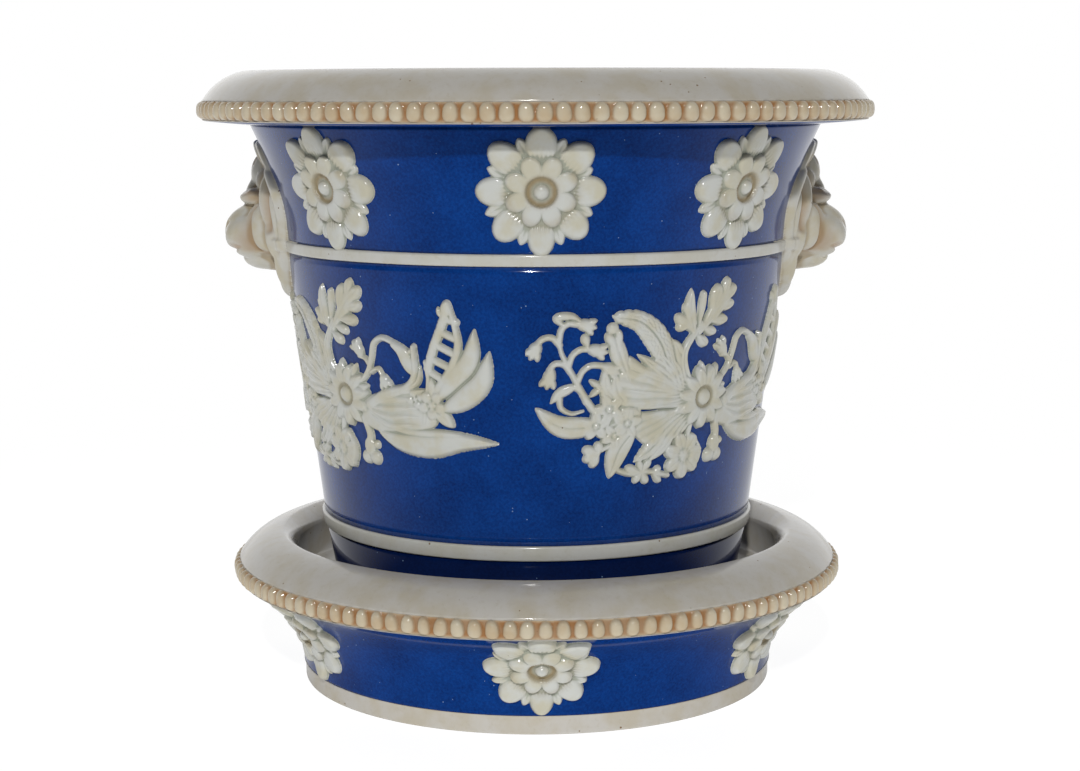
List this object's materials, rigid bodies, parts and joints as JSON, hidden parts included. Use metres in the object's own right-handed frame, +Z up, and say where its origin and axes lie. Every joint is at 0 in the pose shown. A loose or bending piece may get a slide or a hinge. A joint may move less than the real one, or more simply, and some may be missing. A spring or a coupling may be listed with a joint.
{
  "type": "jardiniere on stand",
  "caption": "Flaring round flower pot with a rolled beaded rim, blue ground and white floral relief, standing loose in a deep beaded drip stand.",
  "frame": {"origin": "middle of the stand's foot ring, on the table", "axes": "+Z up along the common axis of the pot and stand; -Y is the front, where a rosette of each piece faces; the two lion masks face +X and -X"},
  "size_m": [0.2, 0.2, 0.1818],
  "materials": {
    "cream_glazed_body": "glossy cream glaze with fine specks and faint brown staining",
    "cobalt_blue_slip": "glossy cobalt blue ground with small white pinholes",
    "tan_glazed_beads": "glossy cream with rust brown stain in the gaps",
    "white_sprig": "soft white moulded relief under a satin glaze",
    "warm_white_sprig": "cream moulded relief, brown in the hollows"
  },
  "bodies": {
    "stand": {"stand_body": "cream_glazed_body", "stand_blue_ground": "cobalt_blue_slip", "stand_bead_row": "tan_glazed_beads", "stand_rosette_front": "white_sprig", "stand_rosette_front_right": "white_sprig", "stand_rosette_back_right": "white_sprig", "stand_rosette_back": "white_sprig", "stand_rosette_back_left": "white_sprig", "stand_rosette_front_left": "white_sprig"},
    "pot": {"pot_body": "cream_glazed_body", "pot_blue_ground_foot": "cobalt_blue_slip", "lower_white_fillet": "cream_glazed_body", "pot_blue_ground_main": "cobalt_blue_slip", "upper_white_fillet": "cream_glazed_body", "pot_blue_ground_neck": "cobalt_blue_slip", "pot_bead_row": "tan_glazed_beads", "pot_rosette_front": "white_sprig", "pot_rosette_front_right": "white_sprig", "pot_rosette_back_right": "white_sprig", "pot_rosette_back": "white_sprig", "pot_rosette_back_left": "white_sprig", "pot_rosette_front_left": "white_sprig", "flower_spray_front_right": "white_sprig", "flower_spray_back_right": "white_sprig", "flower_spray_back_left": "white_sprig", "flower_spray_front_left": "white_sprig", "lion_mask_right": "warm_white_sprig", "lion_mask_left": "warm_white_sprig"}
  },
  "joints": [
    {"name": "pot_lift", "type": "slide", "parent": "stand", "child": "pot", "axis": [0, 0, 1], "range_m": [0, 0.08]}
  ]
}
